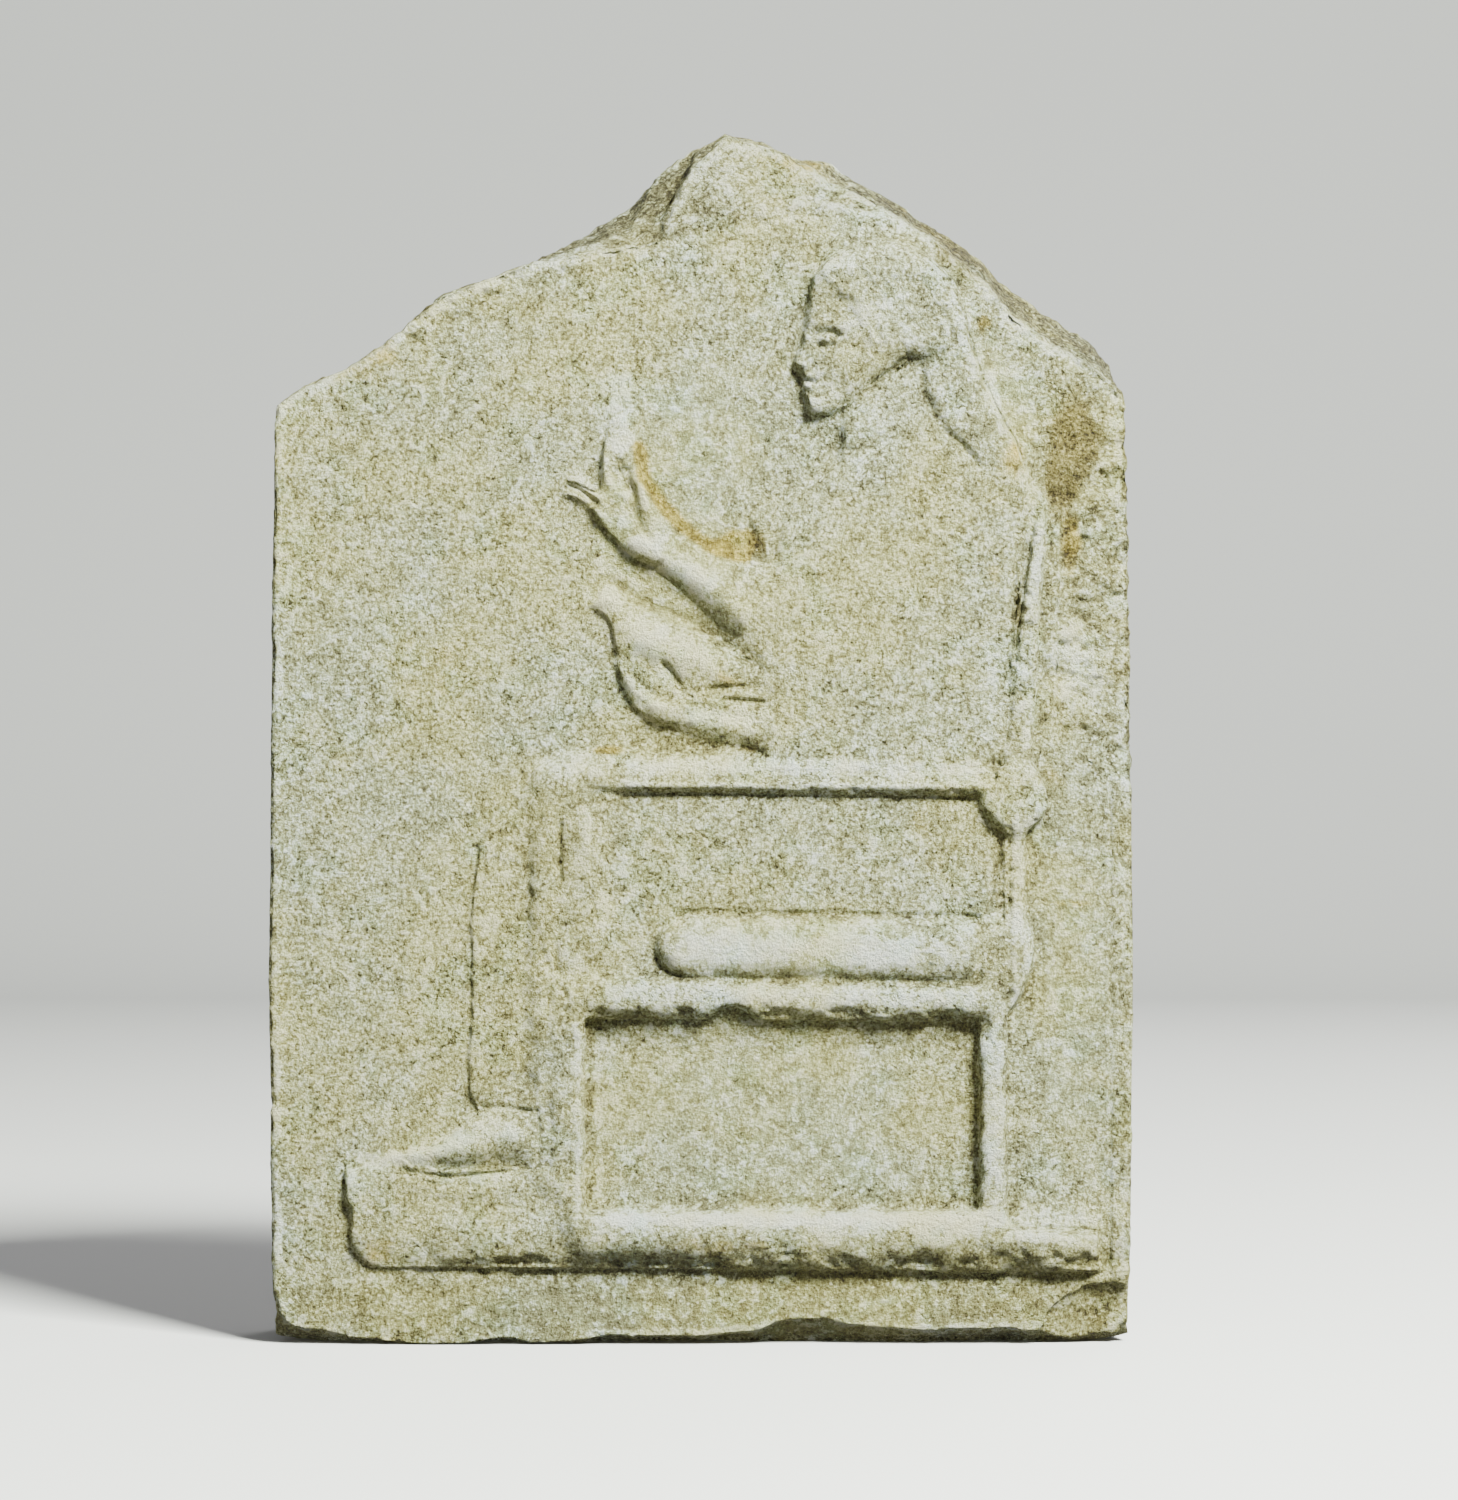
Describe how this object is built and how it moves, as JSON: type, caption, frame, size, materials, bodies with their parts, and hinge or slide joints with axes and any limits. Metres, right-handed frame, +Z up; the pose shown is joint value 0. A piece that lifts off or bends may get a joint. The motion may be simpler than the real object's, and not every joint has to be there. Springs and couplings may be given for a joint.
{
  "type": "carved stone stele",
  "caption": "Broken-topped marble stele that stands on its underside, its front carved in low relief with a veiled figure seated on a throne, holding a dove.",
  "frame": {"origin": "centre of the block's footprint, on the ground it stands on", "axes": "+Z up along the block's height, -Y out of the carved front, +X to the right seen from the front"},
  "size_m": [0.52, 0.1, 0.735],
  "materials": {
    "marble": "weathered, coarse-grained, matte"
  },
  "bodies": {
    "root": {"stele": "marble"}
  },
  "joints": []
}
